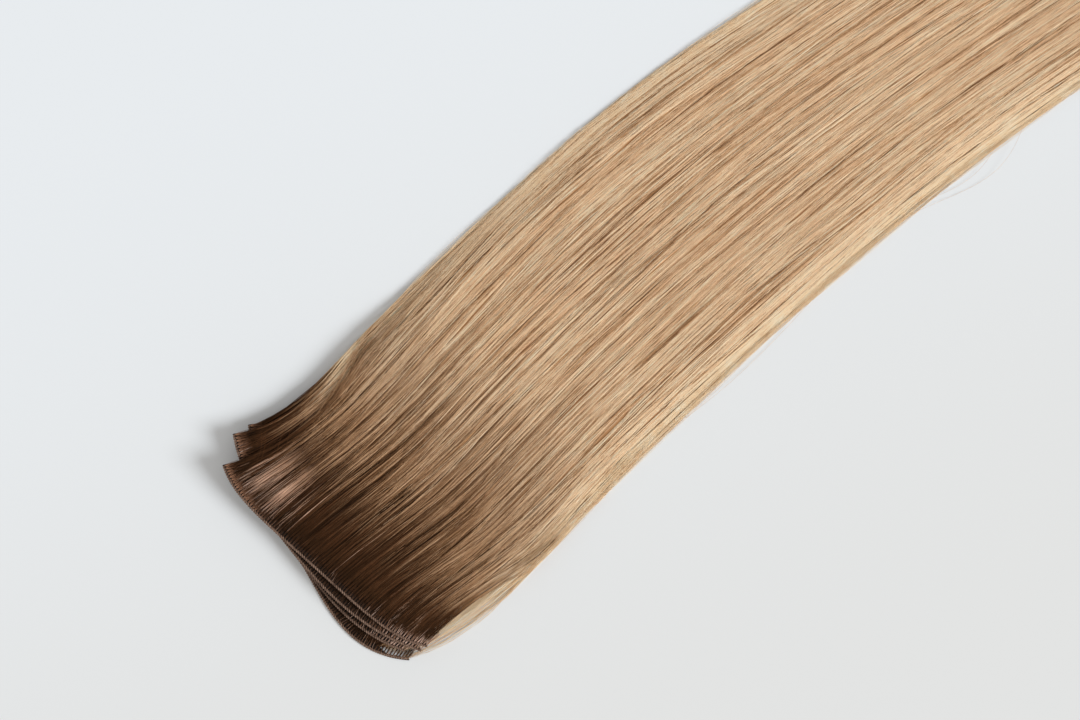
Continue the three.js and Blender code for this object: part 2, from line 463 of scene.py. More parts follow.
def hair_material(name):
    material, tree, shader = new_material(name, roughness=0.42, specular=0.12)
    shader.inputs["Specular Tint"].default_value = GLOSS_TINT
    place = tree.nodes.new("ShaderNodeUVMap")
    place.uv_map = "OFBake"
    split = tree.nodes.new("ShaderNodeSeparateXYZ")
    tree.links.new(place.outputs["UV"], split.inputs[0])
    run = split.outputs["X"]
    row = maths(tree, "FLOOR", maths(tree, "MULTIPLY", split.outputs["Y"], TONES))
    sheen = maths(tree, "LESS_THAN", row, SHEEN_ROWS - 0.5)
    rim = maths(tree, "GREATER_THAN", row, TONES - RIM_ROWS - 0.5)

    row_noise = tree.nodes.new("ShaderNodeTexWhiteNoise")
    row_noise.noise_dimensions = "1D"
    tree.links.new(row, row_noise.inputs["W"])
    chance = row_noise.outputs["Value"]
    spot = tree.nodes.new("ShaderNodeCombineXYZ")
    tree.links.new(maths(tree, "MULTIPLY", run, DRIFT_GRAIN["along"]), spot.inputs["X"])
    tree.links.new(maths(tree, "MULTIPLY", row, DRIFT_GRAIN["across"]), spot.inputs["Y"])
    drift = tree.nodes.new("ShaderNodeTexNoise")
    drift.noise_dimensions = "2D"
    drift.inputs["Scale"].default_value = 1
    drift.inputs["Detail"].default_value = DRIFT_GRAIN["detail"]
    drift.inputs["Roughness"].default_value = DRIFT_GRAIN["roughness"]
    tree.links.new(spot.outputs[0], drift.inputs["Vector"])
    drifted = maths(tree, "SUBTRACT", drift.outputs["Fac"], 0.5)

    level = maths(tree, "DIVIDE", maths(tree, "SUBTRACT", row, SHEEN_ROWS), PLAIN_ROWS)
    sheen_level = maths(tree, "MULTIPLY_ADD", row, SHEEN_LEVEL["each_row"], SHEEN_LEVEL["base"])
    level = maths(tree, "MAXIMUM", level, maths(tree, "MULTIPLY", sheen, sheen_level))
    level = maths(tree, "MULTIPLY_ADD", rim, RIM_LEVEL, level)
    light = maths(tree, "MULTIPLY_ADD", drifted, DRIFT_AMOUNT, level)

    # The rim rows take the painted golden glow of light through the thin edge hair.
    rim_glow = ramp(tree, drift.outputs["Fac"], RIM_GLOW_PAINTED)
    blonde = mixed(tree, "MIX", rim, ramp(tree, light, BLONDE), rim_glow)
    caramel = ramp(tree, light, CARAMEL)
    lift = maths(tree, "MAXIMUM", light, BROWN_LIFT["darkest"])
    lift = maths(tree, "MULTIPLY_ADD", lift, BROWN_LIFT["slope"], BROWN_LIFT["base"])
    sparkle = maths(tree, "MULTIPLY_ADD", light, BROWN_SPARKLE["slope"], BROWN_SPARKLE["base"])
    brown = mixed(tree, "MULTIPLY", 1, ramp(tree, run, ROOT_BROWN), maths(tree, "MAXIMUM", lift, sparkle))
    # The sheen rows mix in the painted highlight near the root, lighter on lighter strands.
    scatter = maths(tree, "MULTIPLY_ADD", chance, GLEAM_SCATTER, -GLEAM_SCATTER / 2)
    gleam = ramp(tree, maths(tree, "ADD", run, scatter), ROOT_GLEAM)
    gleam_lift = maths(tree, "MULTIPLY_ADD", light, GLEAM_LIFT["slope"], GLEAM_LIFT["base"])
    gleam = mixed(tree, "MULTIPLY", 1, gleam, gleam_lift)
    colour = mixed(tree, "MIX", maths(tree, "MULTIPLY", sheen, GLEAM_COVER), brown, gleam)

    start = maths(tree, "MULTIPLY_ADD", chance, FADE_START["scatter"], FADE_START["base"])
    start = maths(tree, "MULTIPLY_ADD", level, FADE_START["lighter"], start)
    for fade, shade in ((CARAMEL_FADE, caramel), (BLONDE_FADE, blonde)):
        faded = tree.nodes.new("ShaderNodeMapRange")
        faded.interpolation_type = "SMOOTHSTEP"
        tree.links.new(run, faded.inputs["Value"])
        tree.links.new(maths(tree, "ADD", start, fade["begin"]), faded.inputs["From Min"])
        tree.links.new(maths(tree, "ADD", start, fade["begin"] + fade["reach"]), faded.inputs["From Max"])
        colour = mixed(tree, "MIX", faded.outputs[0], colour, shade)
    tree.links.new(colour, shader.inputs["Base Color"])
    return material


# Strands as closed prisms along their paths. Their map holds the run along the hair and the tone row.
def strand_piece(name, paths, radii, run, tone):
    count, steps = paths.shape[:2]
    along = np.gradient(paths, axis=1)
    along /= np.linalg.norm(along, axis=2, keepdims=True)
    level = np.cross(along, [0.0, 0.0, 1.0])
    level /= np.linalg.norm(level, axis=2, keepdims=True)
    up = np.cross(level, along)
    turn = np.pi / 2 + 2 * np.pi * np.arange(STRAND_SIDES) / STRAND_SIDES
    ring = level[:, :, None] * np.cos(turn)[:, None] + up[:, :, None] * np.sin(turn)[:, None]
    points = (paths[:, :, None] + radii[:, :, None, None] * ring).reshape(-1, 3)

    first = (np.arange(count) * steps * STRAND_SIDES)[:, None, None]
    base = first + (np.arange(steps - 1) * STRAND_SIDES)[None, :, None]
    after = base + STRAND_SIDES
    here = np.arange(STRAND_SIDES)
    there = (here + 1) % STRAND_SIDES
    quads = np.stack([base + here, after + here, after + there, base + there], -1)
    root = first[:, 0] + here
    tip = first[:, 0] + (steps - 1) * STRAND_SIDES + here[::-1]

    row = np.floor(np.clip(tone, 0, 0.9999) * TONES)
    low = (row + TONE_MARGIN) / TONES
    high = (row + 1 - TONE_MARGIN) / TONES
    begin, end, bottom, top, _ = np.broadcast_arrays(
        run[:, :-1, None], run[:, 1:, None], low[:, None, None], high[:, None, None], here
    )
    corner_uv = [np.stack([begin, bottom, end, bottom, end, top, begin, top], -1).reshape(-1, 2)]
    for cap in (run[:, 0], run[:, -1] - CAP_RUN):
        corner_uv.append(np.stack([cap, low, cap + CAP_RUN, low, cap, high], -1).reshape(-1, 2))
    caps = np.concatenate([root, tip])
    return mesh_piece(name, points, quads.reshape(-1, 4), caps, np.concatenate(corner_uv))


strand_finish = hair_material("root_shaded_hair")
seed = np.random.default_rng(TUFT_SEED)

for length in LENGTHS:
    n = length["number"]
    lowest = n == len(LENGTHS)
    stitches = seam_sides(length, STITCH_PITCH, TUFT_END_GAP)
    tuft = np.repeat(stitches, TUFT_HAIRS)
    spread = np.tile(np.linspace(-1, 1, TUFT_HAIRS), len(stitches)) * TUFT_SPREAD
    x, y, in_x, in_y = seam_edge(length, tuft)
    out = TUFT_PATH["out"]
    lean = seed.normal(0, TUFT_LEAN, len(tuft))[:, None] * out
    slant = eased(TUFT_SLANT, tuft)[:, None] * (out - out[0])
    opened = TUFT_PATH["fan"]
    opened = opened + (TUFT_PATH["early_fan"] - opened) * smooth(*EARLY_FAN_SIDES, tuft)[:, None]
    if lowest:
        opened = opened + (TUFT_PATH["held_fan"] - opened) * smooth(*HELD_FAN_SIDES, tuft)[:, None]
    side_shift = spread[:, None] * opened + lean + slant
    px = x[:, None] + in_x[:, None] * out + in_y[:, None] * side_shift
    py = y[:, None] + in_y[:, None] * out - in_x[:, None] * side_shift
    crown = 1 - TUFT_CROWN * (spread / TUFT_SPREAD) ** 2
    pz = layer_height(length, px, py, TUFT_PATH["high"] * crown[:, None])
    radii = np.full(px.shape, TUFT_HAIR_RADIUS) * TUFT_PATH["thick"]

    # Painted light on the tufts near the ends of the bands, painted highlights on some, and at the left end
    # a shorter run for the lighter root colour.
    lit = eased(TUFT_LIT_LEFT, tuft) + eased(TUFT_LIT_BARED if lowest else TUFT_LIT_RIGHT, tuft)
    tone = plain_tone(TUFT_LIGHT + lit + seed.normal(0, TUFT_LIGHT_SPREAD, len(tuft)))
    gleams = TUFT_GLEAM + eased(TUFT_GLEAM_BARED if lowest else TUFT_GLEAM_RIGHT, tuft)
    gleaming = seed.uniform(0, 1, len(tuft)) < gleams
    tone = np.where(gleaming, sheen_tone(seed.uniform(*TUFT_GLEAM_LEVEL, len(tuft))), tone)
    run = out * (1 - eased(TUFT_RUN_CUT, tuft)[:, None]) / HAIR_LENGTH
    piece = strand_piece(f"root_tufts_{n}", np.stack([px, py, pz], -1), radii, run, tone)
    piece.data.materials.append(strand_finish)
    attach(piece, "root")
    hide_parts(f"seam_{n}")


# Inner hair
# From every band hangs a sheet of straight hair. The inside of the sheet is a thin mat of its own hair
# under the loose strands, held by the same seam. Its colour is darker than the loose hair, painted shade
# for the deep gaps between the strands.

# One row for each length: how far its edges are drawn in near the seam, at what slopes the hair leaves
# the two ends of the seam, and where the tips end.
HANGS = [
    dict(left_inset=14, right_inset=4, left_lean=-0.5, right_lean=0.1, tip_x=503),
    dict(left_inset=2, right_inset=2.5, left_lean=-0.6, right_lean=-0.2, tip_x=499),
    dict(left_inset=0, right_inset=1.5, left_lean=-0.38, right_lean=-0.2, tip_x=508),
    dict(left_inset=3, right_inset=1, left_lean=-0.2, right_lean=-0.55, tip_x=500),
    dict(left_inset=5, right_inset=0, left_lean=-0.1, right_lean=-0.75, tip_x=506),
]
SETTLE_LENGTH = 72
LEFT_LEAN_HOLD = 10
RIGHT_LEAN_HOLD = 6
INSET_FADE = (40, 170)
INSET_HOLD = 6
MAT_COLUMNS = 48
MAT_STATIONS = 28
MAT_CROWDING = 1.4
MAT_LEFT = dict(root=0.003, out=0.014, along=(0.04, 0.2))
MAT_RIGHT = (0.945, 0.9, 0.9, 0.895, 0.9)
MAT_ROOT_OVERLAP = 0.6
MAT_TIP_SHORT = 17
MAT_TIP_WAVES = [dict(by=3, turn=57, shift=1), dict(by=2, turn=133, shift=2)]
MAT_LIFT = 0.02
MAT_THICKNESS = dict(edge=0.12, inside=0.4, edge_width=0.06)
MAT_TIP_THIN = dict(by=0.6, start=0.85, end=1)
MAT_LOCKS = dict(depth=0.07, across=260, wander=3, wander_along=5, wander_across=9)
MAT_STREAKS = (12, 900, 60)
# Darker than the loose hair: painted shade for the gaps between the strands.
MAT_SHADED_BROWN = [(0.3, (40, 26, 18)), (0.7, (84, 60, 44))]
MAT_SHADED_BLONDE = [(0.3, (140, 100, 66)), (0.5, (182, 136, 94)), (0.7, (212, 166, 120))]
MAT_FADE = dict(start=0.05, end=0.125, scatter=0.05)


# Where the hair at a share of the width, 0 left and 1 right, lies once it has joined the flow.
def flow_y(hang, x, share):
    near = 1 - smooth(*INSET_FADE, x)
    left = outline_at("left", x)
    right = outline_at("right", x)
    drawn = hang["right_inset"] * share**INSET_HOLD - hang["left_inset"] * (1 - share) ** INSET_HOLD
    return left + (right - left) * share + drawn * near


# The hair leaves the seam at its lean and settles into the flow.
def hair_y(hang, root_x, root_y, x, share, root_share):
    s = np.clip((x - root_x) / SETTLE_LENGTH, 0, 1)
    lean = hang["left_lean"] * (1 - root_share) ** LEFT_LEAN_HOLD
    lean = lean + hang["right_lean"] * root_share**RIGHT_LEAN_HOLD
    start = flow_y(hang, root_x, share)
    slope = lean - (flow_y(hang, root_x + 1, share) - start)
    settle = hermite(root_y - start, slope * SETTLE_LENGTH, 0, 0, s)
    return flow_y(hang, x, share) + settle


def mat_material(name):
    material, tree, shader = new_material(name, roughness=0.7, specular=0.08)
    place = tree.nodes.new("ShaderNodeTexCoord")
    split = tree.nodes.new("ShaderNodeSeparateXYZ")
    tree.links.new(place.outputs["Object"], split.inputs[0])
    stretch = tree.nodes.new("ShaderNodeMapping")
    stretch.inputs["Scale"].default_value = MAT_STREAKS
    tree.links.new(place.outputs["Object"], stretch.inputs["Vector"])
    streak = tree.nodes.new("ShaderNodeTexNoise")
    streak.inputs["Scale"].default_value = 1
    streak.inputs["Detail"].default_value = 4
    tree.links.new(stretch.outputs[0], streak.inputs["Vector"])
    blonde = ramp(tree, streak.outputs["Fac"], MAT_SHADED_BLONDE)
    brown = ramp(tree, streak.outputs["Fac"], MAT_SHADED_BROWN)
    scatter = maths(tree, "MULTIPLY", streak.outputs["Fac"], MAT_FADE["scatter"])
    faded = tree.nodes.new("ShaderNodeMapRange")
    faded.interpolation_type = "SMOOTHSTEP"
    faded.inputs["From Min"].default_value = MAT_FADE["start"]
    faded.inputs["From Max"].default_value = MAT_FADE["end"]
    tree.links.new(maths(tree, "ADD", split.outputs["X"], scatter), faded.inputs["Value"])
    tree.links.new(mixed(tree, "MIX", faded.outputs[0], brown, blonde), shader.inputs["Base Color"])
    return material


mat_finish = mat_material("inner_hair")
column = np.linspace(0, 1, MAT_COLUMNS + 1)[:, None]
run = np.linspace(0, 1, MAT_STATIONS + 1)[None, :] ** MAT_CROWDING
mat_left = MAT_LEFT["root"] + (MAT_LEFT["out"] - MAT_LEFT["root"]) * smooth(*MAT_LEFT["along"], run)
mat_grid = np.arange(column.size * run.size).reshape(column.size, run.size)
mat_rim = np.concatenate([mat_grid[:, 0], mat_grid[-1, 1:], mat_grid[-2::-1, -1], mat_grid[0, -2:0:-1]])
rim_after = np.roll(mat_rim, -1)
a, b, c, d = (mat_grid[:-1, :-1], mat_grid[1:, :-1], mat_grid[1:, 1:], mat_grid[:-1, 1:])
mat_quads = np.concatenate(
    [
        np.stack([a, b, c, d], -1).reshape(-1, 4),
        np.stack([a, d, c, b], -1).reshape(-1, 4) + mat_grid.size,
        np.stack([mat_rim, mat_rim + mat_grid.size, rim_after + mat_grid.size, rim_after], -1),
    ]
)

for length, hang, mat_right in zip(LENGTHS, HANGS, MAT_RIGHT):
    n = length["number"]
    share = mat_left + (mat_right - mat_left) * column
    root_share = share[:, :1]
    x, y, in_x, in_y = seam_edge(length, 1 - 2 * root_share)
    root_x = x + in_x * (BAND_WIDTH - MAT_ROOT_OVERLAP)
    root_y = y + in_y * (BAND_WIDTH - MAT_ROOT_OVERLAP)
    tip = hang["tip_x"] - MAT_TIP_SHORT
    for wave in MAT_TIP_WAVES:
        tip = tip + wave["by"] * np.sin(root_share * wave["turn"] + wave["shift"] * n)
    px = root_x + (tip - root_x) * run
    py = hair_y(hang, root_x, root_y, px, share, root_share)
    inside = smooth(0, 1, np.minimum(share - mat_left, mat_right - share) / MAT_THICKNESS["edge_width"])
    thick = (MAT_THICKNESS["edge"] + MAT_THICKNESS["inside"] * inside) * (1 - eased(MAT_TIP_THIN, run))
    wander = np.sin(run * MAT_LOCKS["wander_along"] + share * MAT_LOCKS["wander_across"])
    locks = np.sin(share * MAT_LOCKS["across"] + MAT_LOCKS["wander"] * wander)
    thick = thick + MAT_LOCKS["depth"] * locks
    top = np.stack([px, py, layer_height(length, px, py, thick + MAT_LIFT)], -1)
    under = np.stack([px, py, layer_height(length, px, py, MAT_LIFT + 0 * thick)], -1)
    mat = mesh_piece(f"inner_hair_{n}", np.concatenate([top, under]).reshape(-1, 3), mat_quads)
    mat.data.materials.append(mat_finish)
    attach(mat, "root")
    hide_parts(f"hair_{n}")


# Loose hair
# Over the mats lie the loose strands of the five sheets, sewn in with the tufts. They go in small
# bundles that rise and dip among their neighbours, so each shows for a while and then goes under.

# Strands and how they are grouped
STRAND_STEPS = 20
STRAND_CROWDING = 1.8
STRAND_JITTER = 0.4
STRAND_RADIUS = 0.11
STRAND_RADIUS_RANGE = (0.7, 1.2)
BUNDLE = 4
BUNDLE_SPREAD = 0.0008
FAN_SPREAD = dict(by=1.5, start=0.93, end=0.97)
SHARE_ENDS = (0.002, 0.999)
SIDE_END = 0.995
SHARED_SEED = 40
LOCKS = 17
LOCK_SHIFT = dict(by=0.35, turn=23)
LOCK_FIRST = 2
LOCK_SPARE = 5
WISPS = 84
THREADS = 250
# Roots and tips
ROOT_OUT = (2.8, 4.6)
ROOT_CUT = dict(by=0.7, start=0.95, end=0.99)
ROOT_GATHER = 0.6
ROOT_GATHER_ALONG = (7, 0)
RAGGED_SEED = 60
TIP_SHORT = 2
TIP_SCATTER = 8
TIP_RAGGED = 3.5
TIP_LONGEST = 5
# How the strands wander sideways: reach in millimetres and lengths of the waves
FREE_ALONG = (1, 60)
WAVE_RANGE = (0.75, 1.35)
LOCK_SWAY = dict(reach=0.4, waves=(380, 230))
WISP_SWAY = dict(reach=0.7, waves=(300, 170))
THREAD_SWAY = dict(reach=0.5, waves=(180, 90))
BUNDLE_SWAY = dict(reach=1, waves=(420, 190))
STRAND_SWAY = dict(reach=0.12, waves=(170, 75))
ROOT_SWAY = dict(reach=0.5, waves=(75,))
ROOT_SWAY_ALONG = (130, 60)
ROAM = dict(least=0.3, most=5, shape=(0.5, 3))
STEADY = dict(least=0.25, left=(0, 0.05), right=(1, 0.94))
FAN_BEND = (0.84, 1.02)
SPILL_LEFT = (0.1, 0.02)
SPILL_RIGHT = (0.9, 0.97)
SPILL_ALONG = (40, 85)
SPILL_SHAPE = (0.8, 1.1)
FRAY_LEFT = (0.03, 0.004)
FRAY_RIGHT = (0.965, 0.996)
FRAY_ALONG = (70, 140)
FRAY_REACH = dict(usual=0.85, most=1.9, base=0.65)
FRAY_SWAY = dict(reach=0.5, waves=(190,))
WISP_PULL = 50
WISP_PULL_ALONG = (30, 200)
# How they rise and dip in the sheet, as shares of its thickness
TOP_RISE = 0.97
RISE_ENDS = (0.05, 1.06)
DEPTH_SHAPE = (1.1, 1.5)
STRAND_DIP = 0.05
BUNDLE_DIP = dict(reach=0.12, waves=(180, 90))
THREAD_DIP = dict(reach=0.16, waves=(150, 80))
LOCK_DIP = 0.06
BAND_RISE = dict(top=0.9, drop=0.55, shape=(1, 2), ends=(0.1, 0.95))
BAND_RISE_ALONG = (1, 16)
TIP_SINK = dict(by=0.35, start=0.8, end=1)
# How light they are, by their share of the width; the lighter right side and the lighter rims are
# painted light, falling from the right and passing through the thin edge hair
STRAND_LIGHT = 0.63
LIGHTER = [
    dict(by=0.12, start=0.5, end=0.95),
    dict(by=0.07, start=0.5, end=0.2),
    dict(by=0.05, start=0.9, end=0.97),
    dict(by=0.1, start=0.07, end=0.03),
    dict(by=0.1, start=0.94, end=0.98),
]
# Where the left strip lies: painted light on the lower sheets there, a little painted shade on the top
# sheet's edge.
LEFT_STRIP = (0.12, 0.04)
FAN_ROOTS = (0.855, 0.95)
# Painted light on the fanned right strands of the lower sheets, where the light from the right catches
# them.
FAN_PAINTED_LIGHT = 0.3
LOCK_TONE = 0.03
WISP_TONE = 0.05
THREAD_TONE = 0.135
THREAD_TONE_FROM = (0, 0.015)
ODD_STRANDS = dict(shift=[-0.26, 0, 0.24], chance=[0.17, 0.65, 0.18])
BUNDLE_TONE = 0.1
STRAND_TONE = 0.07
UNEVEN = 1.12
MORE_UNEVEN = [
    dict(by=0.35, start=0.65, end=0.35),
    dict(by=0.5, start=0.75, end=0.92),
    dict(by=0.4, start=0.12, end=0.04),
]
LIGHTEST = (0.84, 0.999)
# Chances that a bundle takes the sheen rows, a painted highlight near the roots: patches at the left of the
# top sheet and a little along its right side.
GLEAM_CHANCE = 0.006
GLEAM_RIGHT = dict(by=0.07, start=0.7, end=0.92)
GLEAM_LEFT = dict(by=0.19, start=0.01, end=0.05, until=(0.4, 0.28))
GLEAM_PATCHES = [dict(by=0.58, middle=0.13, width=0.036), dict(by=0.58, middle=0.225, width=0.033)]
GLEAM_DARKEST = 0.2
# Shares near both edges where strands take the rim rows, a painted glow of light through the thin edge
# hair.
RIM_GLOW_ZONES = [dict(by=0.8, start=0.05, end=0.005), dict(by=0.85, start=0.93, end=0.985)]
# Where the fade runs ahead of the strand's own length or behind it, across the sheet and along it; the
# shifts at the fanned right roots, the left strip and the right edge are painted light
DARK_STREAK = dict(by=-0.024, middle=0.67, width=0.09, along=(25, 70))
# Paler fanned strands: painted glow of light through the thin hair over the table.
FAN_PAINTED_GLOW = dict(by=0.0845, near_root=0.117, along=(45, 12))
# The left strip of the lower sheets: painted light where the top sheet's step shades it.
STEP_PAINTED_LIGHT = dict(by=-0.52, start=0.12, end=0.04, along=(14, 5))
STEP_PAINTED_TAN = dict(by=0.0195, start=0.12, end=0.04, along=(2, 10), until=(75, 40))
LEFT_SHADE = dict(by=-0.12, start=0.11, end=0.06, middle=175, width=38)
# The right edge and right roots: painted light falling from the right and through the thin edge hair.
RIGHT_PAINTED_GLOW = dict(by=0.07, start=0.88, end=0.98, along=(8, 46))
RIGHT_PAINTED_TAN = dict(by=0.016, start=0.62, end=0.85, along=(4, 14), until=(80, 40))
STEP_PAINTED_PALE = dict(by=0.208, start=0.1, end=0.03, along=(38, 54))
# How thick they are
TIP_TAPER = dict(by=0.65, start=0.75, end=1)
ROOT_THICKNESS = dict(least=0.75, along=(0, 20))
FRAY_THIN = 0.4
FAN_THIN = dict(by=0.4, start=0.9, end=0.96, along=(65, 20))
# The top sheet shows its whole face; the lower ones mostly their edges. Their strip values are
# painted light on the lower sheets' left strip and a little painted shade on the top sheet's left edge.
TOP_LOOK = dict(deepest=0.5, gleams=True, lower=False, strip=-0.02)
LOWER_LOOK = dict(deepest=0.7, gleams=False, lower=True, strip=0.26)
TOP_SEED = 100
TOP_SETS = 4
TOP_BUNDLES = 300
FULLNESS_AT = [0, 0.012, 0.96, 0.985, 1]
FULLNESS = [0.15, 1, 1, 0.3, 0.05]
FULLNESS_SAMPLES = 2001
LOWER_SEED = 200
LOWER_LEFT = dict(count=75, share=(0.002, 0.17))
LOWER_MIDDLE = dict(count=16, share=(0.2, 0.86))
LOWER_RIGHT = dict(count=30, width=0.13, roots=(0.84, 0.955))
LOWER_END = dict(count=9, inside=(0.002, 0.04))


def sways(seed, groups, member, out, reach, waves):
    total = np.zeros_like(out)
    for wave in waves:
        amount = seed.normal(0, reach / math.sqrt(len(waves)), groups)[member][:, None]
        phase = seed.uniform(0, 2 * np.pi, groups)[member][:, None]
        length = wave * seed.uniform(*WAVE_RANGE, groups)[member][:, None]
        total += amount * np.sin(2 * np.pi * out / length + phase)
    return total


def bell(zone, value):
    return np.exp(-(((value - zone["middle"]) / zone["width"]) ** 2))


def loose_strands(name, length, hang, middles, roots, seed, look):
    lower = look["lower"]
    bundles = len(middles)
    bundle = np.repeat(np.arange(bundles), BUNDLE)
    count = len(bundle)
    strand = np.arange(count)
    apart = seed.normal(0, BUNDLE_SPREAD, count)
    if lower:
        apart *= 1 + eased(FAN_SPREAD, roots[bundle])
    share = np.clip(middles[bundle] + apart, *SHARE_ENDS)
    root_share = np.clip(roots[bundle] + apart, *SHARE_ENDS)
    side = 1 - 2 * root_share
    x, y, in_x, in_y = seam_edge(length, np.clip(side, -SIDE_END, SIDE_END))
    start = seed.uniform(*ROOT_OUT, count) * (1 - eased(ROOT_CUT, root_share))
    root_x = x + in_x * start
    root_y = y + in_y * start
    stitches = seam_sides(length, STITCH_PITCH, TUFT_END_GAP)
    nearest = stitches[np.abs(stitches[None, :] - side[:, None]).argmin(1)]
    gathered = (nearest - side) * ROOT_GATHER * (length["left_y"] - length["right_y"]) / 2

    ahead = np.linspace(0, 1, STRAND_STEPS)[None, :] + np.zeros((count, 1))
    jitter = seed.uniform(-STRAND_JITTER, STRAND_JITTER, (count, STRAND_STEPS - 2))
    ahead[:, 1:-1] += jitter / (STRAND_STEPS - 1)
    ahead = ahead**STRAND_CROWDING
    ragged = np.random.default_rng(RAGGED_SEED + length["number"]).normal(0, TIP_RAGGED, WISPS + 1)
    wisp = np.floor(middles[bundle] * WISPS).astype(int)
    end = hang["tip_x"] - TIP_SHORT - np.abs(seed.normal(0, TIP_SCATTER, count))
    end = end + np.minimum(ragged[wisp], TIP_LONGEST)
    px = root_x[:, None] + (end - root_x)[:, None] * ahead
    out = px - root_x[:, None]
    free = smooth(*FREE_ALONG, out)

    lock_at = share * LOCKS + LOCK_SHIFT["by"] * np.sin(share * LOCK_SHIFT["turn"])
    lock = np.floor(lock_at).astype(int) + LOCK_FIRST
    thread = np.floor(middles[bundle] * THREADS).astype(int)
    shared = np.random.default_rng(SHARED_SEED + length["number"])
    roam = (ROAM["least"] + ROAM["most"] * seed.beta(*ROAM["shape"], bundles))[bundle][:, None]
    steady = smooth(*STEADY["left"], share) * smooth(*STEADY["right"], share)
    steady = (STEADY["least"] + (1 - STEADY["least"]) * steady)[:, None]
    sway = sways(shared, LOCKS + LOCK_SPARE, lock, out, **LOCK_SWAY)
    sway += sways(shared, WISPS + 1, wisp, out, **WISP_SWAY)
    sway += sways(shared, THREADS + 1, thread, out, **THREAD_SWAY)
    sway += sways(seed, bundles, bundle, out, **BUNDLE_SWAY) * roam * steady
    sway += sways(seed, count, strand, out, **STRAND_SWAY) * steady
    sway += sways(seed, bundles, bundle, out, **ROOT_SWAY) * smooth(*ROOT_SWAY_ALONG, out)
    bend = root_share * seed.uniform(*FAN_BEND, bundles)[bundle] if lower else root_share
    py = hair_y(hang, root_x[:, None], root_y[:, None], px, share[:, None], bend[:, None]) + sway * free
    spill = smooth(*SPILL_LEFT, share) * hang["left_inset"]
    spill = spill - smooth(*SPILL_RIGHT, share) * hang["right_inset"]
    spill *= seed.beta(*SPILL_SHAPE, bundles)[bundle]
    py += spill[:, None] * smooth(*SPILL_ALONG, px) * (1 - smooth(*INSET_FADE, px))
    py += gathered[:, None] * smooth(*ROOT_GATHER_ALONG, out)
    edge = smooth(*FRAY_LEFT, share) - smooth(*FRAY_RIGHT, share)
    frayed = edge * np.minimum(seed.exponential(FRAY_REACH["usual"], count), FRAY_REACH["most"])
    frayed = frayed[:, None] * smooth(*FRAY_ALONG, out)
    py += frayed * (FRAY_REACH["base"] + sways(seed, count, strand, out, **FRAY_SWAY))
    wisp_middle = (wisp + 0.5) / WISPS
    py += (share - wisp_middle)[:, None] * WISP_PULL * smooth(*WISP_PULL_ALONG, out)

    depth = (look["deepest"] * seed.beta(*DEPTH_SHAPE, bundles))[bundle]
    depth = (depth + seed.normal(0, STRAND_DIP, count))[:, None]
    depth = depth + sways(seed, bundles, bundle, out, **BUNDLE_DIP) * free
    depth = depth + sways(shared, THREADS + 1, thread, out, **THREAD_DIP) * free
    depth = depth + LOCK_DIP * (1 - np.cos(2 * np.pi * lock_at))[:, None] * free
    rise = np.clip(TOP_RISE - depth, *RISE_ENDS)
    at_band = BAND_RISE["top"] - BAND_RISE["drop"] * seed.beta(*BAND_RISE["shape"], count)
    at_band = np.clip(at_band, *BAND_RISE["ends"])[:, None]
    rise = at_band + (rise - at_band) * smooth(*BAND_RISE_ALONG, out)
    rise = rise * (1 - eased(TIP_SINK, ahead))
    pz = np.maximum(layer_height(length, px, py, rise), 2 * STRAND_RADIUS)

    lock_tone = shared.normal(0, LOCK_TONE, LOCKS + LOCK_SPARE)
    wisp_tone = shared.normal(0, WISP_TONE, WISPS + 1)
    thread_tone = shared.normal(0, THREAD_TONE, THREADS + 1)
    light = STRAND_LIGHT + lock_tone[lock] + wisp_tone[wisp]
    light += thread_tone[thread] * smooth(*THREAD_TONE_FROM, share)
    # Painted light on the lower sheets' strip at the left, and a little painted shade along the top sheet's
    # left edge.
    light += look["strip"] * smooth(*LEFT_STRIP, share)
    # Lighter towards the right side and at both rims: painted light.
    light += sum(eased(zone, share) for zone in LIGHTER)
    fanned = smooth(*FAN_ROOTS, root_share)
    if lower:
        # Painted light on the fanned right strands of the lower sheets.
        light += FAN_PAINTED_LIGHT * fanned
    varied = seed.choice(ODD_STRANDS["shift"], bundles, p=ODD_STRANDS["chance"])[bundle]
    varied += seed.normal(0, BUNDLE_TONE, bundles)[bundle] + seed.normal(0, STRAND_TONE, count)
    light += varied * (UNEVEN + sum(eased(zone, share) for zone in MORE_UNEVEN))
    light = np.minimum(light, seed.uniform(*LIGHTEST, count))
    tone = plain_tone(light)
    # Picked bundles take the sheen rows: painted highlights near the roots.
    pick = seed.uniform(0, 1, bundles)[bundle]
    gleam = GLEAM_CHANCE + eased(GLEAM_RIGHT, share)
    if look["gleams"]:
        gleam += eased(GLEAM_LEFT, share) * smooth(*GLEAM_LEFT["until"], share)
        gleam += sum(patch["by"] * bell(patch, share) for patch in GLEAM_PATCHES)
    gleam_level = np.clip((light - GLEAM_DARKEST) / (1 - GLEAM_DARKEST), 0, 0.999)
    tone = np.where(pick < gleam, sheen_tone(gleam_level), tone)
    # Strands near both edges take the rim rows: painted glow of light through the thin edge hair.
    rim_glow = sum(eased(zone, share) for zone in RIM_GLOW_ZONES)
    glow_row = (1 - pick) / np.maximum(rim_glow, 0.01) * RIM_ROWS
    tone = np.where(1 - pick < rim_glow, 1 - glow_row / TONES, tone)

